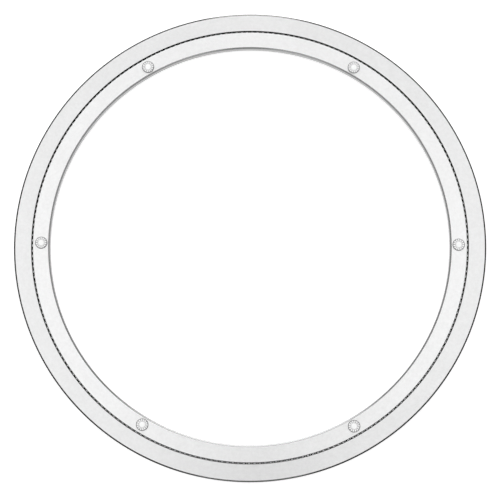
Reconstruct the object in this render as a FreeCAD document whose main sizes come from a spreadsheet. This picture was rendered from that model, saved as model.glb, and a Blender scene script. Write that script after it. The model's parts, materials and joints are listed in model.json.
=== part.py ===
# Lazy susan bearing: two flat aluminium rings that turn on one full row of steel balls
#
# The part stands on the plane z = 0 and turns about the Z axis. The outer ring stands still on six
# ribbed feet. The inner ring carries the turntable top on six pads of the same moulding. The two rings
# lie level with each other, with a narrow slot between them, and each has a vee race that faces the slot.

import FreeCAD, Part
import Sketcher
import math
import os

# Driving dimensions, in millimetres and degrees, with what each one measures
SIZES = [
    ("outer_diameter", 400.0, "over the outer ring"),
    ("outer_ring_width", 15.05, "from the outer ring's outer wall to the slot"),
    ("inner_ring_width", 14.35, "from the slot to the bore"),
    ("ring_gap", 1.1, "slot between the two rings"),
    ("edge_chamfer", 1.0, "broken edges of the outer wall and of the bore, over the flat face"),
    ("edge_slope", 30.0, "slope of the broken edges against the flat face"),
    ("ball_diameter", 4.5, "each ball"),
    ("ball_play", 0.002, "least room between two balls of the row"),
    ("race_clearance", 0.1, "room between a ball and a flank of its race"),
    ("race_flank_angle", 45.0, "slope of each flank of a race against the horizontal"),
    ("race_lip", 0.98, "plain wall left above and below a race"),
    ("filler_passage", 0.4, "room round a ball in the loading hole"),
    ("plug_clearance", 0.02, "room round the plug in the loading hole"),
    ("plug_end_clearance", 0.2, "room between the plug and the balls"),
    ("plug_recess", 0.2, "depth of the plug below the outer wall"),
    ("pad_diameter", 10.3, "over the corners of a pad"),
    ("pad_hub_diameter", 4.2, "plain middle of a pad, where the ribs start"),
    ("pad_height", 1.1, "from a pad's glued face to the top of its ribs"),
    ("pad_flute_depth", 0.7, "depth of a flute at the pad's rim"),
    ("pad_flute_width", 1.2, "width of a flute at the pad's rim"),
    ("pad_rib_count", 14, "ribs on a pad"),
    ("pad_count", 6, "pads on each ring"),
    ("pad_first_angle", 0.0, "direction of the first turntable pad"),
    ("foot_first_angle", 30.0, "direction of the first foot"),
]

# The row of balls is held in this many groups
BALL_GROUPS = 6

# How far a cutting outline reaches past the face that it cuts
OVERSHOOT = 0.5

FULL_TURN = 360.0
HALF_TURN = 180.0
QUARTER_TURN = 90.0
Z_AXIS = FreeCAD.Vector(0, 0, 1)
X_AXIS = FreeCAD.Vector(1, 0, 0)

# Sizes that follow from the driving ones
OUTER_RADIUS = "(Sizes.outer_diameter / 2)"
SLOT_OUTER_RADIUS = f"({OUTER_RADIUS} - Sizes.outer_ring_width)"
SLOT_INNER_RADIUS = f"({SLOT_OUTER_RADIUS} - Sizes.ring_gap)"
BORE_RADIUS = f"({SLOT_INNER_RADIUS} - Sizes.inner_ring_width)"
PITCH_RADIUS = f"({SLOT_OUTER_RADIUS} - Sizes.ring_gap / 2)"
RACE_DEPTH = "((Sizes.ball_diameter / 2 + Sizes.race_clearance) / sin(Sizes.race_flank_angle))"
RACE_RISE = f"({RACE_DEPTH} * tan(Sizes.race_flank_angle))"
RACE_MOUTH = f"(({RACE_DEPTH} - Sizes.ring_gap / 2) * tan(Sizes.race_flank_angle))"
RING_THICKNESS = f"(2 * {RACE_MOUTH} + 2 * Sizes.race_lip)"
RING_BOTTOM = "Sizes.pad_height"
RING_TOP = f"({RING_BOTTOM} + {RING_THICKNESS})"
RACE_HEIGHT = f"({RING_BOTTOM} + {RING_THICKNESS} / 2)"
EDGE_DROP = "(Sizes.edge_chamfer * tan(Sizes.edge_slope))"
FILLER_RADIUS = "(Sizes.ball_diameter / 2 + Sizes.filler_passage / 2)"
PLUG_START = f"({PITCH_RADIUS} + Sizes.ball_diameter / 2 + Sizes.plug_end_clearance)"
PLUG_LENGTH = f"({OUTER_RADIUS} - Sizes.plug_recess - {PLUG_START})"
FLUTE_SLOPE = "(Sizes.pad_flute_depth / ((Sizes.pad_diameter - Sizes.pad_hub_diameter) / 2))"

doc = FreeCAD.newDocument("lazy_susan_bearing")


def make_sheet():
    """The sheet of driving dimensions: name, value and meaning in three columns."""
    sheet = doc.addObject("Spreadsheet::Sheet", "Sizes")
    for row, (name, number, meaning) in enumerate(SIZES, start=1):
        sheet.set(f"A{row}", name)
        sheet.set(f"B{row}", str(number))
        sheet.set(f"C{row}", meaning)
        sheet.setAlias(f"B{row}", name)
    doc.recompute()
    return sheet


def value(expression):
    """The number that an expression over the sheet stands for."""
    return float(sizes.evalExpression(expression))


def make_body(label):
    body = doc.addObject("PartDesign::Body", label)
    body.Label = label
    return body


def origin_part(body, role):
    """One of the body's own base planes or axes."""
    return next(item for item in body.Origin.OriginFeatures if item.Role == role)


def make_sketch(body, name, role):
    sketch = body.newObject("Sketcher::SketchObject", name)
    sketch.AttachmentSupport = [(origin_part(body, role), "")]
    sketch.MapMode = "FlatFace"
    return sketch


def bind(sketch, constraint, expression):
    """Adds a dimension to a sketch and ties it to the sheet."""
    index = sketch.addConstraint(constraint)
    sketch.setExpression(f"Constraints[{index}]", expression)


def outline(sketch, corners):
    """A closed outline of straight lines, each corner placed by two expressions over the sheet."""
    points = [FreeCAD.Vector(value(across), value(up), 0) for across, up in corners]
    lines = [
        sketch.addGeometry(Part.LineSegment(start, end))
        for start, end in zip(points, points[1:] + points[:1])
    ]
    for line, following in zip(lines, lines[1:] + lines[:1]):
        sketch.addConstraint(Sketcher.Constraint("Coincident", line, 2, following, 1))
    for line, point, (across, up) in zip(lines, points, corners):
        bind(sketch, Sketcher.Constraint("DistanceX", -1, 1, line, 1, point.x), across)
        bind(sketch, Sketcher.Constraint("DistanceY", -1, 1, line, 1, point.y), up)


def polygon(sketch, sides, diameter):
    """A regular polygon with its corners on a circle of the given diameter, the first one on X."""
    radius = value(diameter) / 2
    centre = FreeCAD.Vector(0, 0, 0)
    circle = sketch.addGeometry(Part.Circle(centre, Z_AXIS, radius), True)
    sketch.addConstraint(Sketcher.Constraint("Coincident", circle, 3, -1, 1))
    bind(sketch, Sketcher.Constraint("Diameter", circle, 2 * radius), diameter)
    turns = [2 * math.pi * index / sides for index in range(sides)]
    points = [FreeCAD.Vector(radius * math.cos(turn), radius * math.sin(turn), 0) for turn in turns]
    lines = [
        sketch.addGeometry(Part.LineSegment(start, end))
        for start, end in zip(points, points[1:] + points[:1])
    ]
    for line, following in zip(lines, lines[1:] + lines[:1]):
        sketch.addConstraint(Sketcher.Constraint("Coincident", line, 2, following, 1))
        sketch.addConstraint(Sketcher.Constraint("PointOnObject", line, 1, circle))
    for line in lines[1:]:
        sketch.addConstraint(Sketcher.Constraint("Equal", lines[0], line))
    sketch.addConstraint(Sketcher.Constraint("PointOnObject", lines[0], 1, -1))


def revolve(body, kind, name, sketch):
    """Turns a sketch once round the body's Z axis, as added or as cut material."""
    feature = body.newObject(kind, name)
    feature.Profile = sketch
    feature.ReferenceAxis = (sketch, ["V_Axis"])
    feature.Angle = FULL_TURN
    return feature


def make_ring(label, slot_radius, wall_radius, outward):
    """A flat ring with broken edges on its open wall and a vee race in its wall at the slot.

    The open wall lies outward of the slot on the outer ring, and inward of it on the inner ring.
    """
    away = "+" if outward else "-"
    back = "-" if outward else "+"
    body = make_body(label)

    section = make_sketch(body, f"{label}_section", "XZ_Plane")
    outline(section, [
        (slot_radius, RING_BOTTOM),
        (f"{wall_radius} {back} Sizes.edge_chamfer", RING_BOTTOM),
        (wall_radius, f"{RING_BOTTOM} + {EDGE_DROP}"),
        (wall_radius, f"{RING_TOP} - {EDGE_DROP}"),
        (f"{wall_radius} {back} Sizes.edge_chamfer", RING_TOP),
        (slot_radius, RING_TOP),
    ])
    revolve(body, "PartDesign::Revolution", f"{label}_blank", section)

    race = make_sketch(body, f"{label}_race_section", "XZ_Plane")
    outline(race, [
        (f"{PITCH_RADIUS} {away} {RACE_DEPTH}", RACE_HEIGHT),
        (PITCH_RADIUS, f"{RACE_HEIGHT} + {RACE_RISE}"),
        (PITCH_RADIUS, f"{RACE_HEIGHT} - {RACE_RISE}"),
    ])
    revolve(body, "PartDesign::Groove", f"{label}_race", race)
    return body


def drill_filler_hole(ring):
    """The radial hole at +Y through which the balls are dropped into the races."""
    circle = make_sketch(ring, "filler_hole_section", "XZ_Plane")
    centre = FreeCAD.Vector(0, value(RACE_HEIGHT), 0)
    index = circle.addGeometry(Part.Circle(centre, Z_AXIS, value(FILLER_RADIUS)))
    circle.addConstraint(Sketcher.Constraint("PointOnObject", index, 3, -2))
    bind(circle, Sketcher.Constraint("DistanceY", -1, 1, index, 3, centre.y), RACE_HEIGHT)
    bind(circle, Sketcher.Constraint("Radius", index, value(FILLER_RADIUS)), FILLER_RADIUS)
    hole = ring.newObject("PartDesign::Pocket", "filler_hole")
    hole.Profile = circle
    hole.setExpression("Length", OUTER_RADIUS)
    return hole


def make_filler_plug():
    """A plain pin pressed into the loading hole, a little below the outer wall."""
    plug = doc.addObject("Part::Cylinder", "filler_plug")
    plug.setExpression("Radius", f"{FILLER_RADIUS} - Sizes.plug_clearance")
    plug.setExpression("Height", PLUG_LENGTH)
    plug.Placement.Rotation = FreeCAD.Rotation(X_AXIS, -QUARTER_TURN)
    plug.setExpression("Placement.Base.y", PLUG_START)
    plug.setExpression("Placement.Base.z", RACE_HEIGHT)
    return plug


def make_pad(label, ring_radius, angle, height, upside_down):
    """A moulded pad: a flat disc whose rim is cut by flutes that run out at a plain hub.

    What stays between the flutes are the ribs, one behind each flat of the rim.
    """
    body = make_body(label)
    ribs = int(value("Sizes.pad_rib_count"))

    rim = make_sketch(body, f"{label}_rim", "XY_Plane")
    polygon(rim, ribs, "Sizes.pad_diameter")
    disc = body.newObject("PartDesign::Pad", f"{label}_disc")
    disc.Profile = rim
    disc.setExpression("Length", "Sizes.pad_height")

    # The flute's outline stands at the rim and reaches past the pad's top by the overshoot
    vee = make_sketch(body, f"{label}_flute_section", "YZ_Plane")
    vee.setExpression("AttachmentOffset.Base.z", "Sizes.pad_diameter / 2")
    widening = f"(1 + {OVERSHOOT} / Sizes.pad_flute_depth)"
    mouth = f"Sizes.pad_flute_width / 2 * {widening}"
    outline(vee, [
        ("0", "Sizes.pad_height - Sizes.pad_flute_depth"),
        (mouth, f"Sizes.pad_height + {OVERSHOOT}"),
        (f"-{mouth}", f"Sizes.pad_height + {OVERSHOOT}"),
    ])
    flute = body.newObject("PartDesign::Pocket", f"{label}_flute")
    flute.Profile = vee
    flute.UseCustomVector = True
    flute.AlongSketchNormal = True
    flute.Direction = FreeCAD.Vector(-1, 0, value(FLUTE_SLOPE))
    flute.setExpression("Direction.z", FLUTE_SLOPE)
    flute.setExpression("Length", "Sizes.pad_diameter / 2")

    flutes = body.newObject("PartDesign::PolarPattern", f"{label}_flutes")
    flutes.Originals = [flute]
    flutes.Axis = (origin_part(body, "Z_Axis"), [""])
    flutes.Angle = FULL_TURN
    flutes.setExpression("Occurrences", "Sizes.pad_rib_count")
    body.Tip = flutes

    turn = FreeCAD.Rotation(Z_AXIS, value(angle))
    if upside_down:
        turn = turn.multiply(FreeCAD.Rotation(X_AXIS, HALF_TURN))
    body.Placement.Rotation = turn
    body.setExpression("Placement.Base.x", f"{ring_radius} * cos({angle})")
    body.setExpression("Placement.Base.y", f"{ring_radius} * sin({angle})")
    body.setExpression("Placement.Base.z", height)
    return body


def make_pads(label, first_angle, inner_radius, outer_radius, height, upside_down):
    """Pads spaced evenly round a ring, in the middle of its flat face."""
    middle = f"(({inner_radius} + {outer_radius}) / 2)"
    pads = []
    for index in range(int(value("Sizes.pad_count"))):
        angle = f"({first_angle} + {index} * {FULL_TURN} / Sizes.pad_count)"
        pads.append(make_pad(f"{label}_{index + 1}", middle, angle, height, upside_down))
    return pads


def on_circle(radius, turn, height):
    """The point at a radius, a turn in radians and a height."""
    return FreeCAD.Vector(radius * math.cos(turn), radius * math.sin(turn), height)


def ball_solid(radius):
    """A ball of twenty equal flat faces, with all twelve corners on the ball's true sphere.

    One corner points up and one down. Between them lie two rings of five corners, half a step apart.
    """
    sides = 5
    step = 2 * math.pi / sides
    belt_height = radius / math.sqrt(sides)
    belt_radius = 2 * belt_height
    top = FreeCAD.Vector(0, 0, radius)
    bottom = FreeCAD.Vector(0, 0, -radius)
    upper = [on_circle(belt_radius, index * step, belt_height) for index in range(sides)]
    lower = [on_circle(belt_radius, (index + 0.5) * step, -belt_height) for index in range(sides)]
    triangles = []
    for here in range(sides):
        there = (here + 1) % sides
        triangles.append((top, upper[here], upper[there]))
        triangles.append((upper[here], lower[here], upper[there]))
        triangles.append((lower[here], lower[there], upper[there]))
        triangles.append((bottom, lower[there], lower[here]))
    faces = [Part.Face(Part.makePolygon([*corners, corners[0]])) for corners in triangles]
    return Part.makeSolid(Part.makeShell(faces))


def make_balls():
    """One full row of balls on the pitch circle, as many as fit, in groups that follow each other."""
    pitch_radius = value(PITCH_RADIUS)
    ball_room = value("Sizes.ball_diameter + Sizes.ball_play")
    count = math.floor(math.pi / math.asin(ball_room / (2 * pitch_radius)))
    step = FULL_TURN / count
    group_size = math.ceil(count / BALL_GROUPS)
    ball = ball_solid(value("Sizes.ball_diameter / 2"))
    groups = []
    for first in range(0, count, group_size):
        row = []
        for index in range(min(group_size, count - first)):
            placed = ball.copy()
            placed.translate(FreeCAD.Vector(pitch_radius, 0, 0))
            placed.rotate(FreeCAD.Vector(0, 0, 0), Z_AXIS, index * step)
            row.append(placed)
        label = f"balls_{len(groups) + 1}"
        group = doc.addObject("Part::Feature", label)
        group.Label = label
        group.Shape = Part.Compound(row)
        lift = FreeCAD.Vector(0, 0, value(RACE_HEIGHT))
        group.Placement = FreeCAD.Placement(lift, FreeCAD.Rotation(Z_AXIS, first * step))
        groups.append(group)
    print(f"{count} balls on a pitch circle of {2 * pitch_radius:.1f} mm")
    return groups


def check(parts):
    """Stops the script if an object failed, a cut took nothing away or a sub-part has no sound solid."""
    for item in doc.Objects:
        if "Invalid" in item.State or "Error" in item.State:
            raise RuntimeError(f"{item.Name} is {item.State}")
        if item.TypeId in ("PartDesign::Groove", "PartDesign::Pocket"):
            if item.Shape.Volume >= item.BaseFeature.Shape.Volume:
                raise RuntimeError(f"{item.Name} cuts nothing")
    for part in parts:
        if part.Shape.isNull() or not part.Shape.isValid() or not part.Shape.Solids:
            raise RuntimeError(f"{part.Label} has no sound solid")


def write(parts):
    os.makedirs("parts", exist_ok=True)
    for part in parts:
        part.Shape.exportStep(f"parts/{part.Label}.step")
        box = part.Shape.BoundBox
        print(f"{part.Label}: {len(part.Shape.Solids)} solids, {part.Shape.Volume:.1f} mm3, "
              f"z {box.ZMin:.3f} to {box.ZMax:.3f}")


sizes = make_sheet()

outer_ring = make_ring("outer_ring", SLOT_OUTER_RADIUS, OUTER_RADIUS, outward=True)
inner_ring = make_ring("inner_ring", SLOT_INNER_RADIUS, BORE_RADIUS, outward=False)
drill_filler_hole(outer_ring)
filler_plug = make_filler_plug()
turntable_pads = make_pads(
    "turntable_pad", "Sizes.pad_first_angle", BORE_RADIUS, SLOT_INNER_RADIUS, RING_TOP, upside_down=False)
foot_pads = make_pads(
    "foot_pad", "Sizes.foot_first_angle", SLOT_OUTER_RADIUS, OUTER_RADIUS, RING_BOTTOM, upside_down=True)
ball_groups = make_balls()
doc.recompute()

parts = [outer_ring, inner_ring, filler_plug, *turntable_pads, *foot_pads, *ball_groups]
check(parts)
write(parts)
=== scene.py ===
# %% [markdown]
# Dressing a lazy susan bearing.
#
# The bearing is two flat aluminium rings, one inside the other. They lie level, a narrow slot apart, and
# turn on one full row of steel balls. Six small ribbed pads on the inner ring carry the turntable top,
# and six more under the outer ring stand on the table. The solid model gives every size and place.
# This lesson gives the pieces fine meshes and the finishes of the real metal and plastic.

# %% Load the frame
import json
import math

import bmesh
import bpy
from mathutils import Matrix, Vector


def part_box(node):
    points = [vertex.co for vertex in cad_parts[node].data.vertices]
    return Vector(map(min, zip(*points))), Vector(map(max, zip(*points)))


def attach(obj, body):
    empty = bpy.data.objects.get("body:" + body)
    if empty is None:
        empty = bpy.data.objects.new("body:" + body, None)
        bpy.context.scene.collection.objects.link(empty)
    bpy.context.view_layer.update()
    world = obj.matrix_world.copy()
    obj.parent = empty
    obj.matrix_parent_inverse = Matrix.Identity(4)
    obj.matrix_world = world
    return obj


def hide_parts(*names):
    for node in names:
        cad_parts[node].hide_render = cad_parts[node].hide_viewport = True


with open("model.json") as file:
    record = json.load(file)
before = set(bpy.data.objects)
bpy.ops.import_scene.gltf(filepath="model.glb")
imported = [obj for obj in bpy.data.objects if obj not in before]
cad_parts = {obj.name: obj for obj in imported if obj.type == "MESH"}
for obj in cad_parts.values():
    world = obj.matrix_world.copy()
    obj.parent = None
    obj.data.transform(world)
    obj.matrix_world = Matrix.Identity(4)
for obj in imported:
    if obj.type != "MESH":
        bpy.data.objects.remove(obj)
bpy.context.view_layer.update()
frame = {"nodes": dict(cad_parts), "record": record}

# %% [markdown]
# Measuring the solids.
#
# A piece that stands for a solid has to sit where the solid is, so its sizes are read from the frame and
# not typed again. A box gives heights and outer sizes. The slot and the bore are holes in the middle of a
# box, so they are found from the distances between the ring's corners and the axis.

# %% Radii and heights of the rings
MM = 0.001
QUARTER_TURN = math.radians(90)

# Two places that lie closer than this are the same place
NEAR = MM / 1000


def corners_of(node):
    """The radius and the height of each corner of a solid."""
    return [(corner.co.xy.length, corner.co.z) for corner in frame["nodes"][node].data.vertices]


def radii(node):
    """The smallest and the largest distance of a solid's corners from the Z axis."""
    distances = [radius for radius, height in corners_of(node)]
    return min(distances), max(distances)


slot_outer, outer_wall = radii("outer_ring")
bore_wall, slot_inner = radii("inner_ring")
ring_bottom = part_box("outer_ring")[0].z
ring_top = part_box("outer_ring")[1].z
race_height = (ring_bottom + ring_top) / 2
pitch_radius = (slot_outer + slot_inner) / 2
ball_radius = (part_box("balls_1")[1].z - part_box("balls_1")[0].z) / 2
edge_width = outer_wall - max(radius for radius, height in corners_of("outer_ring")
                              if height > ring_top - NEAR)
edge_drop = ring_top - max(height for radius, height in corners_of("outer_ring")
                           if radius > outer_wall - NEAR)
print(f"outer ring {slot_outer / MM:.2f} to {outer_wall / MM:.2f} mm, inner ring "
      f"{bore_wall / MM:.2f} to {slot_inner / MM:.2f} mm, balls {2 * ball_radius / MM:.2f} mm, "
      f"broken edges {edge_width / MM:.2f} mm wide and {edge_drop / MM:.2f} mm deep")

# %% [markdown]
# The camera.
#
# The photograph looks almost straight down, from a little below the picture's lower edge, with a long lens.
# Four circles of known size, the outer edge, the slot and the two edges of the bore, fix the camera's
# place: their centres and flattening in the picture give the tilt, and the drift between the upper and the
# lower edge of the bore gives the distance. A camera is placed by its three axes here, because a camera
# that looks straight down has no clear way up.

# %% Place the camera
CAMERA_DISTANCE = 1.4
CAMERA_TILT = math.radians(8.08)
CAMERA_HEADING = math.radians(-81.32)
CAMERA_ROLL = math.radians(0.444)
CAMERA_TARGET = Vector((0.35 * MM, -4.2 * MM, 0))
LENS = 118.38

camera = bpy.data.objects.new("camera", bpy.data.cameras.new("camera"))
bpy.context.scene.collection.objects.link(camera)
bpy.context.scene.camera = camera
camera.data.lens = LENS
camera.location = CAMERA_DISTANCE * Vector((
    math.sin(CAMERA_TILT) * math.cos(CAMERA_HEADING),
    math.sin(CAMERA_TILT) * math.sin(CAMERA_HEADING),
    math.cos(CAMERA_TILT),
))
backwards = (camera.location - CAMERA_TARGET).normalized()
rightwards = Vector((0, 1, 0)).cross(backwards).normalized()
upwards = backwards.cross(rightwards)
axes = Matrix((rightwards, upwards, backwards)).transposed() @ Matrix.Rotation(CAMERA_ROLL, 3, "Z")
camera.rotation_mode = "QUATERNION"
camera.rotation_quaternion = axes.to_quaternion()
print("the camera stands", [round(value, 3) for value in camera.location])

# %% [markdown]
# Shader sums.
#
# A finish is a network of nodes, and long networks are hard to read as code. A socket is therefore wrapped
# in a small class that knows plus, minus, times and divide, so a mask can be written as an ordinary sum.
# Every other node comes from one method, which takes the node's type, its settings and its inputs.

# %% A socket that can be added and multiplied
class Signal:
    """The output of a shader node, for use in ordinary sums."""

    def __init__(self, finish, socket):
        self.finish = finish
        self.socket = socket

    def __getitem__(self, output):
        """Another output of the same node."""
        return Signal(self.finish, self.socket.node.outputs[output])

    def maths(self, operation, *values):
        return self.finish.node("ShaderNodeMath", {"operation": operation}, dict(enumerate(values)))

    def __add__(self, other):
        return self.maths("ADD", self, other)

    def __sub__(self, other):
        return self.maths("SUBTRACT", self, other)

    def __mul__(self, other):
        return self.maths("MULTIPLY", self, other)

    def __truediv__(self, other):
        return self.maths("DIVIDE", self, other)

    def __pow__(self, power):
        return self.maths("POWER", self, power)

    __radd__ = __add__

    def swing(self, share):
        """How far noise lies from its middle value of one half, times a share."""
        return (self - 0.5) * share


# %% A finish under construction
# A Mix node has its own sockets for each kind of value. These are the places of those for colours.
MIX_FACTOR, MIX_FIRST, MIX_SECOND, MIX_RESULT = 0, 6, 7, 2


class Finish:
    """A material whose nodes are added one call at a time."""

    def __init__(self, name):
        self.material = bpy.data.materials.new(name)
        self.material.use_nodes = True
        self.tree = self.material.node_tree
        self.tree.nodes.clear()

    def node(self, kind, settings, inputs, output=0):
        """Adds a node. Inputs are numbers, colours or signals, by the socket's name or place."""
        node = self.tree.nodes.new(kind)
        for name, value in settings.items():
            setattr(node, name, value)
        for socket, value in inputs.items():
            if isinstance(value, Signal):
                self.tree.links.new(value.socket, node.inputs[socket])
            else:
                node.inputs[socket].default_value = value
        return Signal(self, node.outputs[output])

    def place(self):
        """The point on the piece, in metres, in the frame of the solid model."""
        return self.node("ShaderNodeTexCoord", {}, {}, "Object")

    def shade(self):
        """The number, named shade, that each corner of the mesh carries."""
        return self.node("ShaderNodeAttribute", {"attribute_name": "shade"}, {}, "Fac")

    def noise(self, vector, scale, detail=2.0):
        """Smooth random values about one half."""
        return self.node("ShaderNodeTexNoise", {}, {"Vector": vector, "Scale": scale, "Detail": detail})

    def ramp(self, value, low, high):
        """A smooth step from 0 to 1 while the value goes from low to high."""
        settings = {"interpolation_type": "SMOOTHSTEP"}
        return self.node("ShaderNodeMapRange", settings, {"Value": value, "From Min": low, "From Max": high})

    def blend(self, factor, first, second):
        """Goes from the first colour to the second as the factor goes from 0 to 1."""
        inputs = {MIX_FACTOR: factor, MIX_FIRST: first, MIX_SECOND: second}
        return self.node("ShaderNodeMix", {"data_type": "RGBA"}, inputs, MIX_RESULT)

    def bump(self, height, distance):
        """A relief as deep as the distance where the height goes from 0 to 1."""
        return self.node("ShaderNodeBump", {}, {"Height": height, "Distance": distance})

    def surface(self, **inputs):
        """Ends the network in a Principled shader. Underscores in the names stand for spaces."""
        named = {name.replace("_", " "): value for name, value in inputs.items()}
        shader = self.node("ShaderNodeBsdfPrincipled", {}, named)
        end = self.tree.nodes.new("ShaderNodeOutputMaterial")
        self.tree.links.new(shader.socket, end.inputs["Surface"])
        return self.material


def grey(level, blueness=0.0):
    """A grey colour, a little cooler where blueness is more than 0."""
    return (level * (1 - blueness), level, level * (1 + blueness), 1)


# %% [markdown]
# From a shape to an object.
#
# A shape grows as a bmesh, which is a net of corners, edges and faces in memory. To be seen it has to become
# a mesh in an object of the scene. That step, a full turn round the Z axis and the rounding of a set of
# edges come back in several pieces, so each of them is a function.

# %% Steps that several pieces share
BEVEL_STEPS = 2


def as_object(name, shape):
    """Puts a bmesh into a new object at the origin."""
    mesh = bpy.data.meshes.new(name)
    shape.to_mesh(mesh)
    shape.free()
    made = bpy.data.objects.new(name, mesh)
    bpy.context.scene.collection.objects.link(made)
    return made


def spin_fully(shape, line, steps):
    """Spins corners and edges once round the Z axis and merges the last step with the first."""
    bmesh.ops.spin(
        shape, geom=line, axis=(0, 0, 1), cent=(0, 0, 0), dvec=(0, 0, 0),
        angle=2 * math.pi, steps=steps, use_merge=True)


def round_edges(shape, edges, offset):
    bmesh.ops.bevel(
        shape, geom=edges, offset=offset, segments=BEVEL_STEPS, profile=0.5, affect="EDGES", material=-1)


# %% [markdown]
# The studio.
#
# The bearing lies on a white sheet. Its flat faces mirror the ceiling, and in the photograph they are light
# all round except for a dip at the bottom. So two wide soft boxes hang left and right of the camera, with a
# narrow gap between them for the dip, and a third hangs behind them for the top of the rings. The broken
# edges slope and mirror what stands lower. They are nearly black at the sides and light at the back, so a
# small lamp and a strip stand at the back and two weak ones at the front. The room itself is not quite half
# as light as the sheet, so that the metal still looks like silver from the side. The sheet is plain white,
# and a little light of its own, which only the camera and reflections see, makes it clean white while it
# still takes the shadow.

# %% Floor, lamps and room
FLOOR_RADIUS = 12.0
FLOOR_STEPS = 64
FLOOR_WHITE = 0.85
FLOOR_GLOW = 0.45
ROOM_LEVEL = 0.4

# Each lamp is its name, its place, the point that it faces, its width and depth, and its level
LAMPS = [
    ("left_softbox", (-1.27, -0.3, 1.7), (-1.27, -0.3, 0), (2.1, 2.8), 0.96),
    ("right_softbox", (1.27, -0.25, 1.7), (1.27, -0.25, 0), (2.1, 2.7), 0.96),
    ("ceiling_softbox", (0, 2.4, 1.7), (0, 2.4, 0), (5.8, 2.6), 0.6),
    ("back_softbox", (0, 2.4, 0.7), (0, 0, 0), (0.8, 0.8), 5.2),
    ("back_strip", (0, 2.7, 1.5), (0, 0, 0), (3.4, 0.6), 4.0),
    ("front_strip", (0, -1.75, 1.75), (0, 0, 0), (2.0, 0.5), 0.8),
    ("front_fill", (0, -2.4, 1.4), (0, 0, 0), (1.4, 0.8), 1.2),
]


def make_floor():
    shape = bmesh.new()
    bmesh.ops.create_circle(shape, cap_ends=True, segments=FLOOR_STEPS, radius=FLOOR_RADIUS)
    floor = as_object("floor", shape)
    finish = Finish("white_sheet")
    rays = finish.node("ShaderNodeLightPath", {}, {}, "Is Camera Ray")
    seen = rays + rays["Is Glossy Ray"] + rays["Is Transmission Ray"]
    glow = finish.blend(seen, grey(0.0), grey(1.0))
    floor.data.materials.append(finish.surface(
        Base_Color=grey(FLOOR_WHITE), Roughness=0.9, Specular_IOR_Level=0.0,
        Emission_Color=glow, Emission_Strength=FLOOR_GLOW))


def make_lamp(name, place, aim, size, level):
    """A soft rectangular lamp that faces a point. Its level is the brightness of its face."""
    light = bpy.data.lights.new(name, "AREA")
    light.shape = "RECTANGLE"
    light.size, light.size_y = size
    light.energy = level * math.pi * size[0] * size[1]
    lamp = bpy.data.objects.new(name, light)
    lamp.location = place
    lamp.rotation_mode = "QUATERNION"
    lamp.rotation_quaternion = (Vector(place) - Vector(aim)).to_track_quat("Z", "Y")
    lamp.visible_camera = False
    bpy.context.scene.collection.objects.link(lamp)


make_floor()
for lamp_row in LAMPS:
    make_lamp(*lamp_row)
room = bpy.data.worlds.new("room")
room.use_nodes = True
background = room.node_tree.nodes["Background"]
background.inputs["Color"].default_value = grey(1.0)
background.inputs["Strength"].default_value = ROOM_LEVEL
bpy.context.scene.world = room
bpy.context.scene.view_settings.view_transform = "Standard"
print("floor,", len(bpy.data.lights), "lamps and a room at level", ROOM_LEVEL)

# %% [markdown]
# Patterns that run round a ring.
#
# A turned or brushed ring has marks that follow its circles. Noise on plain coordinates has no such
# direction. The trick is to give the noise the direction from the axis, which changes slowly round the
# ring, and the radius, which is blown up until its steps are a fraction of a millimetre.

# %% Marks that follow the circles
ARC_MARKS_PER_RADIAN = 24


def turned_marks(finish, marks_per_metre):
    """Noise in fine lines that follow the ring, for walls as well as for flat faces."""
    apart = finish.node("ShaderNodeSeparateXYZ", {}, {"Vector": finish.place()})
    radius = (apart["X"] * apart["X"] + apart["Y"] * apart["Y"]) ** 0.5
    inputs = {
        "X": apart["X"] / radius * ARC_MARKS_PER_RADIAN,
        "Y": apart["Y"] / radius * ARC_MARKS_PER_RADIAN,
        "Z": (radius + apart["Z"]) * marks_per_metre,
    }
    return finish.noise(finish.node("ShaderNodeCombineXYZ", {}, inputs), 1.0)


# %% [markdown]
# Matt anodised aluminium.
#
# The flat faces are brushed round, blasted and anodised. Close up they show a fine grain with a trace of
# the brushing under it, and from a step away they are a nearly even pale silver. The grain changes the
# colour by a few hundredths, the roughness by a tenth and the surface by a few thousandths of a millimetre.
# The inner ring is a shade lighter than the outer one, so the level is an argument.

# %% Finish of the flat faces
GRAIN_SCALE = 1400
MOTTLE_SCALE = 420
CLOUD_SCALE = 30
BRUSH_MARKS_PER_METRE = 3500
FACE_CONTRAST = 0.06
FACE_RELIEF = 0.012 * MM


def anodised_face(name, level):
    finish = Finish(name)
    point = finish.place()
    grain = finish.noise(point, GRAIN_SCALE, 3.0)
    mottle = finish.noise(point, MOTTLE_SCALE)
    clouds = finish.noise(point, CLOUD_SCALE)
    marks = turned_marks(finish, BRUSH_MARKS_PER_METRE)
    shade = 0.5 + mottle.swing(1.1) + grain.swing(0.9) + clouds.swing(0.5) + marks.swing(0.5)
    dark, light = level * (1 - FACE_CONTRAST), level * (1 + FACE_CONTRAST)
    return finish.surface(
        Base_Color=finish.blend(shade, grey(dark), grey(light, 0.002)), Metallic=0.9,
        Roughness=0.4 + grain.swing(0.2), Anisotropic=0.7, Anisotropic_Rotation=0.25,
        Normal=finish.bump(grain * 0.7 + marks * 0.5, FACE_RELIEF))


outer_face = anodised_face("outer_anodised_face", 0.79)
inner_face = anodised_face("inner_anodised_face", 0.85)
print("anodised faces:", outer_face.name, inner_face.name)

# %% [markdown]
# Turned edges and races.
#
# The walls are left as the lathe leaves them, with the fine parallel lines of the tool. The photograph shows
# the bore's wall as a darker grey than the faces, so it gets a darker grey than the outer wall, partly the
# metal's and partly painted shade. The outer wall isn't seen there and keeps the grey of the metal. The
# broken edges are cut last. In the photograph they draw a fine dark line round each ring, the outer one the
# darker, so they are given a nearly black metal here, which is painted shade and painted dark reflection.
# The races are turned finer still and are nearly black: dark grease and painted shade inside the slot. One
# function makes all of these, because they differ only in how light, how rough and how deeply lined they
# are.

# %% Finishes of the turned metal
TOOL_LINES_PER_METRE = 9000
STAIN_SCALE = 90
TURNED_CONTRAST = 0.2

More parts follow.
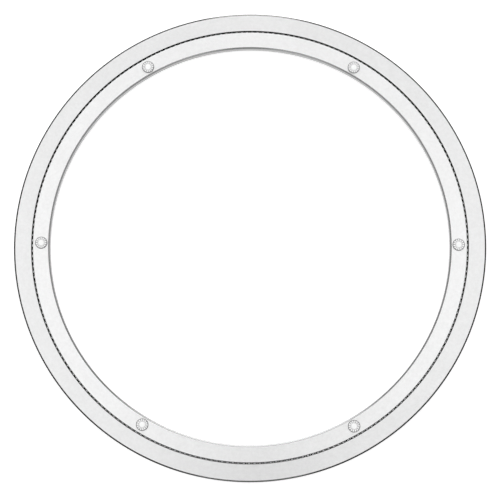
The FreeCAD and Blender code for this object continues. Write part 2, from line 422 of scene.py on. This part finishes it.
# Each finish is its name, its level of grey, its roughness and the depth of its lines in millimetres
TURNED_FINISHES = [
    ("outer_wall_metal", 0.45, 0.3, 0.01),
    # The bore wall's grey is darker than the outer wall's: partly the metal, partly painted shade
    ("bore_wall_metal_and_painted_shade", 0.38, 0.3, 0.01),
    # Painted shade: the broken edges are nearly black, standing in for shade and the dark room they mirror,
    # the outer one darker
    ("outer_edge_painted_shade", 0.085, 0.15, 0.004),
    ("bore_edge_painted_shade", 0.2, 0.15, 0.004),
    # Painted shade: the race and the slot's corners are nearly black, dark grease and the shade inside the
    # slot
    ("race_grease_and_painted_shade", 0.05, 0.2, 0.004),
    ("plug_metal", 0.6, 0.3, 0.006),
]


def turned_metal(name, level, roughness, groove_depth):
    finish = Finish(name)
    lines = turned_marks(finish, TOOL_LINES_PER_METRE)
    stains = finish.noise(finish.place(), STAIN_SCALE, 3.0)
    dark, light = level * (1 - TURNED_CONTRAST), level * (1 + TURNED_CONTRAST)
    return finish.surface(
        Base_Color=finish.blend(lines * 0.6 + stains * 0.4, grey(dark), grey(light, 0.004)), Metallic=1.0,
        Roughness=roughness + stains.swing(0.15), Normal=finish.bump(lines, groove_depth))


turned = {name: turned_metal(name, level, roughness, depth * MM)
          for name, level, roughness, depth in TURNED_FINISHES}
print("turned metal:", *turned)

# %% [markdown]
# Joining a shape to the frame.
#
# Every piece below is shaped in a bmesh and then closed into an object. The object stays at the origin, so
# that patterns on object coordinates are in the same frame on every piece. It rides on the body that its
# solid belongs to, gets its own finishes and hides the solid.

# %% From a shape to a piece of the bearing
BODY_OF = {node: body for body, nodes in frame["record"]["behaviour"]["bodies"].items() for node in nodes}


def finish_piece(name, shape, materials, node, sharp_degrees=8):
    """Turns a bmesh into an object that stands for a CAD node and moves with the node's body."""
    bmesh.ops.recalc_face_normals(shape, faces=shape.faces)
    piece = as_object(name, shape)
    mesh = piece.data
    mesh.polygons.foreach_set("use_smooth", [True] * len(mesh.polygons))
    mesh.set_sharp_from_angle(angle=math.radians(sharp_degrees))
    for material in materials:
        mesh.materials.append(material)
    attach(piece, BODY_OF[node])
    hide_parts(node)
    return piece


# %% [markdown]
# The rings.
#
# Each ring is turned from one blank. Its section is a flat bar with two broken edges on the open wall and a
# vee race in the wall at the slot. The solid has just those corners, and they are sharp. Turned corners are
# never quite sharp, so here each is softened by about a tenth of a millimetre. The two at the slot get a
# little more, and the broken edges are drawn a fifth wider, because the photograph shows the slot and the
# dark lines of the edges stronger than the solid's own sizes would. The section is spun round the axis
# first, and the corners are bevelled afterwards.

# %% Turn a ring
RING_STEPS = 360
RACE_CLEARANCE = 0.1 * MM
SOFTENED_CORNER = 0.12 * MM
SLOT_CORNER = 0.32 * MM
EDGE_WIDENING = 1.2

# The flanks of a race slope at 45 degrees, which puts its bottom this far from the middle of the balls
race_depth = (ball_radius + RACE_CLEARANCE) * math.sqrt(2)
race_mouth = race_depth - (slot_outer - slot_inner) / 2


def bevel_circles(shape, offset, chosen):
    """Bevels the edges that run round the ring where chosen says yes to their radius and height."""
    circles = []
    for edge in shape.edges:
        (first_radius, first_height), (radius, height) = [
            (corner.co.xy.length, corner.co.z) for corner in edge.verts]
        runs_round = max(abs(first_radius - radius), abs(first_height - height)) < NEAR
        if runs_round and chosen(radius, height):
            circles.append(edge)
    round_edges(shape, circles, offset)


def turn_ring(slot_radius, wall_radius):
    """The bmesh of a ring whose race faces the slot and whose open wall is on the other side."""
    away = math.copysign(1, wall_radius - slot_radius)
    flat_end = wall_radius - away * EDGE_WIDENING * edge_width
    drop = EDGE_WIDENING * edge_drop
    corners = [
        (slot_radius, ring_bottom), (flat_end, ring_bottom), (wall_radius, ring_bottom + drop),
        (wall_radius, ring_top - drop), (flat_end, ring_top), (slot_radius, ring_top),
        (slot_radius, race_height + race_mouth), (pitch_radius + away * race_depth, race_height),
        (slot_radius, race_height - race_mouth),
    ]
    shape = bmesh.new()
    points = [shape.verts.new((radius, 0, height)) for radius, height in corners]
    section = [shape.edges.new(pair) for pair in zip(points, points[1:] + points[:1])]
    spin_fully(shape, points + section, RING_STEPS)

    def at_slot(radius, height):
        on_flat = min(abs(height - ring_top), abs(height - ring_bottom)) < NEAR
        return on_flat and abs(radius - slot_radius) < NEAR

    def away_from_slot(radius, height):
        return abs(radius - slot_radius) > 2 * SLOT_CORNER

    bevel_circles(shape, SLOT_CORNER, at_slot)
    bevel_circles(shape, SOFTENED_CORNER, away_from_slot)
    return shape


# %% [markdown]
# Which face gets which finish.
#
# The finishes meet at the corners of the section, so the faces are told apart by where they look and where
# they are: faces that look straight up or down are anodised, all that lies within the race's depth of the
# slot gets the nearly black race finish of grease and painted shade, the slopes are broken edges, and the
# rest is wall.

# %% Sort a ring's faces
FACE, EDGE, WALL, RACE = range(4)

# How much of a face's direction points up or down, at least, on a flat face and on a slope
FLAT = 0.99
SLOPE = 0.2


def sort_faces(shape, slot_radius):
    """Gives each face of a ring the place of its finish in the ring's list."""
    shape.normal_update()
    for face in shape.faces:
        depth = abs(face.calc_center_median().xy.length - slot_radius)
        if abs(face.normal.z) > FLAT:
            face.material_index = FACE
        elif depth < race_depth:
            face.material_index = RACE
        elif abs(face.normal.z) > SLOPE:
            face.material_index = EDGE
        else:
            face.material_index = WALL


# %% [markdown]
# The loading hole.
#
# The balls go in one by one through a hole in the outer ring's wall, which lies on the Y axis and reaches
# the race. A drilled hole in a round wall has an edge that curves both ways, and a boolean finds that edge
# by itself. The drill is a cylinder. Both shapes become objects only for as long as the cut takes, and the
# result goes back into a bmesh, so the ring is finished like every other piece.

# %% Drill a hole
HOLE_CLEARANCE = 0.02 * MM
DRILL_OVERSHOOT = 5 * MM
BAR_STEPS = 48
plug_low, plug_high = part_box("filler_plug")
plug_radius = (plug_high.z - plug_low.z) / 2


def round_bar(radius, start, end):
    """The bmesh of a bar along Y, at the height of the race."""
    middle = Vector((0, (start + end) / 2, race_height))
    lying = Matrix.Translation(middle) @ Matrix.Rotation(QUARTER_TURN, 4, "X")
    shape = bmesh.new()
    bmesh.ops.create_cone(
        shape, cap_ends=True, segments=BAR_STEPS, radius1=radius, radius2=radius, depth=end - start,
        matrix=lying)
    return shape


def drilled(shape, drill):
    """The shape with the drill taken out of it."""
    blank, bit = as_object("blank", shape), as_object("drill", drill)
    cut = blank.modifiers.new("hole", "BOOLEAN")
    cut.operation, cut.solver, cut.object = "DIFFERENCE", "EXACT", bit
    result = bpy.data.meshes.new_from_object(blank.evaluated_get(bpy.context.evaluated_depsgraph_get()))
    left = bmesh.new()
    left.from_mesh(result)
    for made in (blank, bit):
        bpy.data.objects.remove(made)
    return left


# %% Make both rings
def make_ring(name, slot_radius, shape, finishes):
    """Makes a ring. Its finishes are those of the faces, the broken edges and the open wall."""
    sort_faces(shape, slot_radius)
    ring = finish_piece(name + "_metal", shape, finishes + [turned["race_grease_and_painted_shade"]], name)
    print(ring.name, len(ring.data.polygons), "faces")


outer_blank = turn_ring(slot_outer, outer_wall)
loading_drill = round_bar(plug_radius + HOLE_CLEARANCE, slot_outer, outer_wall + DRILL_OVERSHOOT)
make_ring("outer_ring", slot_outer, drilled(outer_blank, loading_drill),
          [outer_face, turned["outer_edge_painted_shade"], turned["outer_wall_metal"]])
make_ring("inner_ring", slot_inner, turn_ring(slot_inner, bore_wall),
          [inner_face, turned["bore_edge_painted_shade"], turned["bore_wall_metal_and_painted_shade"]])

# %% [markdown]
# The balls.
#
# A full row of balls fills the race, each touching the next. Only a strip of each ball shows through the
# slot, as a bright point between two dark gaps, so a few dozen faces with smooth shading are enough. Each
# ball is turned so that its two poles are the points where it touches its neighbours. The row then closes
# exactly there, where a coarse ball's flat faces would otherwise leave a gap.
#
# The steel goes nearly black towards the points where two balls touch, and is light on the middle of a
# ball: dark grease and painted shade between the balls. Each corner of the mesh therefore carries a number,
# its shade, from 0 at the middle to 1 at a pole, and the finish turns it into that darkening.

# %% Finish of the balls
SMEAR_SCALE = 700

# The shades at which the grease and painted shade start and at which they cover the steel
DARKENING_START = 0.2
DARKENING_FULL = 0.6


def steel_with_grease_and_shade():
    finish = Finish("steel_with_grease_and_shade")
    smears = finish.noise(finish.place(), SMEAR_SCALE)
    grease_and_shade = finish.ramp(finish.shade() + smears.swing(0.2), DARKENING_START, DARKENING_FULL)
    # Painted shade: the steel goes nearly black towards the contacts, grease and the shade between balls
    colour = finish.blend(grease_and_shade, grey(0.66, 0.01), grey(0.01))
    return finish.surface(Base_Color=colour, Metallic=1.0, Roughness=0.05 + smears * 0.06)


# %% Lay the row of balls
BALL_GROUPS = 6
BALL_SEGMENTS = 10
BALL_RINGS = 6
steel = steel_with_grease_and_shade()
ball_count = math.floor(math.pi / math.asin(ball_radius / pitch_radius))


def make_balls(group):
    """The balls of one group, which follow each other round the pitch circle. The last group is shorter."""
    size = math.ceil(ball_count / BALL_GROUPS)
    out = Matrix.Translation((pitch_radius, 0, race_height)) @ Matrix.Rotation(QUARTER_TURN, 4, "X")
    shape = bmesh.new()
    shade = shape.verts.layers.float.new("shade")
    for index in range(group * size, min((group + 1) * size, ball_count)):
        turn = Matrix.Rotation(2 * math.pi * index / ball_count, 4, "Z")
        ball = bmesh.ops.create_uvsphere(
            shape, u_segments=BALL_SEGMENTS, v_segments=BALL_RINGS, radius=ball_radius, matrix=turn @ out)
        along = turn @ Vector((0, 1, 0))
        centre = turn @ Vector((pitch_radius, 0, race_height))
        for corner in ball["verts"]:
            corner[shade] = abs((corner.co - centre).dot(along)) / ball_radius
    node = f"balls_{group + 1}"
    return finish_piece(node + "_steel", shape, [steel], node, sharp_degrees=180)


for group in range(BALL_GROUPS):
    row = make_balls(group)
print(ball_count, "balls, the last", row.name)

# %% [markdown]
# The filler plug.
#
# A short pin closes the loading hole. It is a little shorter than the wall is thick, so it stands back
# from the wall and shows as a round dimple. Its two rims are bevelled, as on any pin that is pressed in.

# %% Set the filler plug
PIN_BEVEL = 0.25 * MM


def make_plug():
    shape = round_bar(plug_radius, plug_low.y, plug_high.y)
    rims = [edge for edge in shape.edges if abs(edge.verts[0].co.y - edge.verts[1].co.y) < NEAR]
    round_edges(shape, rims, PIN_BEVEL)
    return finish_piece("filler_plug_metal", shape, [turned["plug_metal"]], "filler_plug", sharp_degrees=15)


plug = make_plug()
print(plug.name, "of", round(2 * plug_radius / MM, 2), "mm")

# %% [markdown]
# The ribbed pads.
#
# Each pad is a small moulding in soft clear plastic: a plain hub, fourteen ribs that run out to the rim and
# a flute between each two ribs. A lathe makes the disc, fine enough that every rib gets twelve steps, and
# the corners that lie in a flute are then pressed down. That is quicker than cutting fourteen flutes, and
# it gives them the soft bottoms of a moulding.
#
# Clear plastic looks white where it is level and grey where it is steep, because a steep wall bends the
# view sideways, away from the white sheet. Light that bends through so small a piece comes out as noise, so
# most of the light stops at the surface here, and each corner of the mesh carries a number, its shade, that
# greys the colour in the flutes, in the groove round the hub and on the skirt of the rim.

# %% Finish of the pads
PLASTIC_CLOUD_SCALE = 500
PLASTIC_RELIEF = 0.005 * MM


def clear_plastic():
    finish = Finish("clear_plastic")
    clouds = finish.noise(finish.place(), PLASTIC_CLOUD_SCALE)
    colour = finish.blend(finish.shade() * (0.85 + clouds * 0.3), grey(0.93, 0.002), grey(0.12, 0.01))
    return finish.surface(
        Base_Color=colour, Roughness=0.15 + clouds * 0.1, IOR=1.45, Transmission_Weight=0.1,
        Normal=finish.bump(clouds, PLASTIC_RELIEF))


# %% Shape of a pad
RIBS = 14
STEPS_PER_RIB = 12
HUB_RADIUS = 2.15 * MM
FLUTE_DEPTH = 0.7 * MM
FLUTE_SHADE = 0.7

# The share of a rib's pitch that a flute takes, and of the way to the rim on which it gets its depth
FLUTE_SHARE = 0.52
FLUTE_RUN = 0.35

pad_low, pad_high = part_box("turntable_pad_1")
pad_height = pad_high.z - pad_low.z
pad_radius = (pad_high.x - pad_low.x) / 2

# Each point of the section is (how far out, how high, how grey). The hub ends at 1 and the rim at 2.
# The lines are the hub, the groove round it, the ribs, the rounded rim and the skirt.
PAD_SECTION = [
    (0.0, 1.0, 0.0), (0.9, 1.0, 0.0), (1.0, 0.98, 0.03),
    (1.08, 0.9, 0.2), (1.17, 0.87, 0.3), (1.27, 0.92, 0.2), (1.38, 0.99, 0.05),
    (1.5, 1.0, 0.0), (1.65, 1.0, 0.0), (1.79, 0.99, 0.05),
    (1.85, 0.93, 0.8), (1.9, 0.84, 1.0), (1.96, 0.66, 1.0),
    (2.0, 0.4, 1.0), (1.97, 0.18, 1.0), (1.9, 0.0, 1.0),
]


def pressed(corner):
    """How far a corner of the disc is pressed down into a flute, from 0 to 1."""
    pitch = 2 * math.pi / RIBS
    turn = math.atan2(corner.co.y, corner.co.x)
    aside = abs((turn + pitch / 2) % pitch - pitch / 2) / (FLUTE_SHARE * pitch / 2)
    along = (corner.co.xy.length - HUB_RADIUS) / (pad_radius - HUB_RADIUS)
    if aside >= 1 or along <= 0:
        return 0
    return math.cos(aside * math.pi / 2) ** 2 * min(1, along / FLUTE_RUN)


def pad_shape():
    """A pad with its glued face at height 0 and its first flute on X."""
    shape = bmesh.new()
    shade = shape.verts.layers.float.new("shade")
    points = []
    for across, up, grey_share in PAD_SECTION:
        radius = min(across, 1) * HUB_RADIUS + max(across - 1, 0) * (pad_radius - HUB_RADIUS)
        points.append(shape.verts.new((radius, 0, up * pad_height)))
        points[-1][shade] = grey_share
    line = [shape.edges.new(pair) for pair in zip(points, points[1:])]
    spin_fully(shape, points + line, RIBS * STEPS_PER_RIB)
    bmesh.ops.remove_doubles(shape, verts=shape.verts, dist=NEAR)
    bmesh.ops.holes_fill(shape, edges=[edge for edge in shape.edges if edge.is_boundary], sides=0)
    for corner in shape.verts:
        press = pressed(corner)
        corner[shade] = max(corner[shade], FLUTE_SHADE * press)
        corner.co.z -= FLUTE_DEPTH * press * corner.co.z / pad_height
    return shape


# %% Stick the pads on and the feet under
plastic = clear_plastic()

# How far a pad's glued face sinks into the ring
GLUED = 0.01 * MM


def make_pad(node):
    low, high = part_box(node)
    centre = (low + high) / 2
    turned_out = Matrix.Rotation(math.atan2(centre.y, centre.x), 4, "Z")
    if node.startswith("foot"):
        place = Vector((centre.x, centre.y, high.z + GLUED))
        turned_out = turned_out @ Matrix.Rotation(math.pi, 4, "X")
    else:
        place = Vector((centre.x, centre.y, low.z - GLUED))
    shape = pad_shape()
    bmesh.ops.transform(shape, matrix=Matrix.Translation(place) @ turned_out, verts=shape.verts)
    return finish_piece(node + "_plastic", shape, [plastic], node, sharp_degrees=50)


for node in sorted(frame["nodes"]):
    if "_pad_" in node:
        pad = make_pad(node)
print("pads and feet, the last", pad.name, len(pad.data.polygons), "faces")
